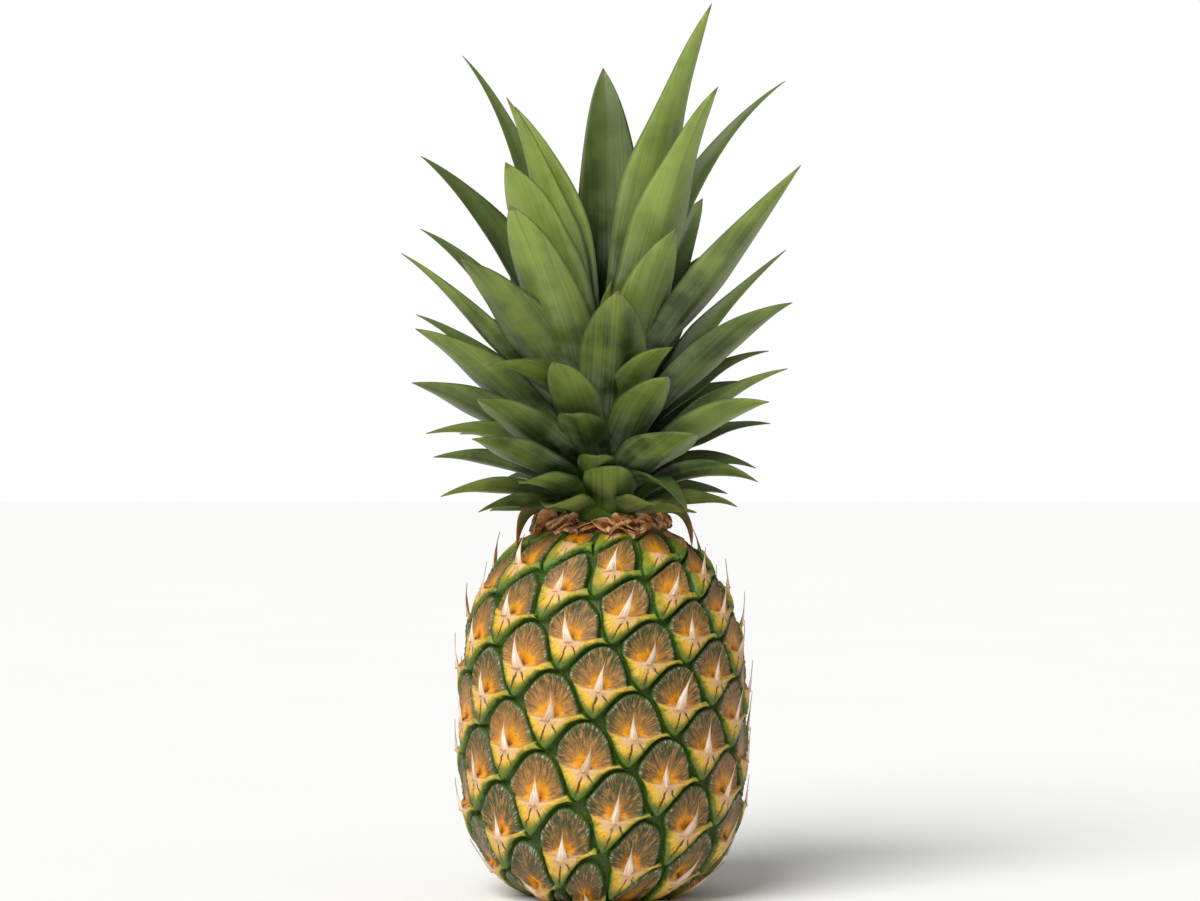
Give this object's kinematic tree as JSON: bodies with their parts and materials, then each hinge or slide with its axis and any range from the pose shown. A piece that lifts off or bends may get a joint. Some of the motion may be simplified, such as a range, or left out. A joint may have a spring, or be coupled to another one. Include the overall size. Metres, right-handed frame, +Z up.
{
  "type": "pineapple",
  "caption": "Whole pineapple standing upright on its base: barrel-shaped fruit with raised eyes and spikes, a dry collar at the neck and a tall crown of channelled leaves.",
  "frame": {"origin": "centre of the flat base that the fruit stands on, on the fruit's axis", "axes": "+Z up along the fruit's axis towards the crown, +X to the right and -Y towards the viewer when the pictured side faces the viewer"},
  "size_m": [0.165, 0.1468, 0.372],
  "materials": {
    "fruit_skin": "waxy fruit skin, golden bracts and grey-brown discs between dark green grooves",
    "dry_bract": "dry papery brown bracts, matt",
    "leaf": "waxy green leaf, satin, with a pale bloom near the root"
  },
  "bodies": {
    "root": {"fruit": "fruit_skin", "dry_collar": "dry_bract", "crown": "leaf"}
  },
  "joints": []
}
